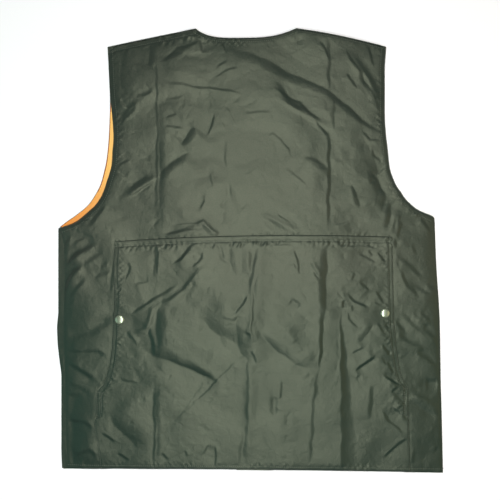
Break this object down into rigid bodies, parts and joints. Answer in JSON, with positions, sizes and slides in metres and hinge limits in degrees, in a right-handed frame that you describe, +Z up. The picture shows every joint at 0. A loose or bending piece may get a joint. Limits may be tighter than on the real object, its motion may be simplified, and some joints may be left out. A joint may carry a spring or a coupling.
{
  "type": "reversible hunting vest",
  "caption": "Sleeveless reversible vest with a snap front and a rear game pouch, laid flat with its back up on a flat underside.",
  "frame": {"origin": "on the surface that the vest lies on, under the middle of its outline", "axes": "+Z up from the surface, out of the back panel; +Y towards the neck; +X towards the wearer's right side"},
  "size_m": [0.626, 0.72, 0.0128],
  "materials": {
    "olive_nylon": "semi-gloss plain-weave nylon taffeta, press-creased",
    "orange_nylon": "soft orange woven lining side",
    "nickel": "worn pearl nickel"
  },
  "bodies": {
    "root": {"back": "olive_nylon", "pouch": "olive_nylon", "front_left": "olive_nylon", "front_left_turn": "olive_nylon", "front_right": "olive_nylon", "lining_front_left": "orange_nylon", "snap_pouch_left": "nickel", "snap_pouch_right": "nickel", "snap_front_1": "nickel", "snap_front_2": "nickel", "snap_front_3": "nickel", "snap_front_4": "nickel", "snap_front_5": "nickel"}
  },
  "joints": []
}
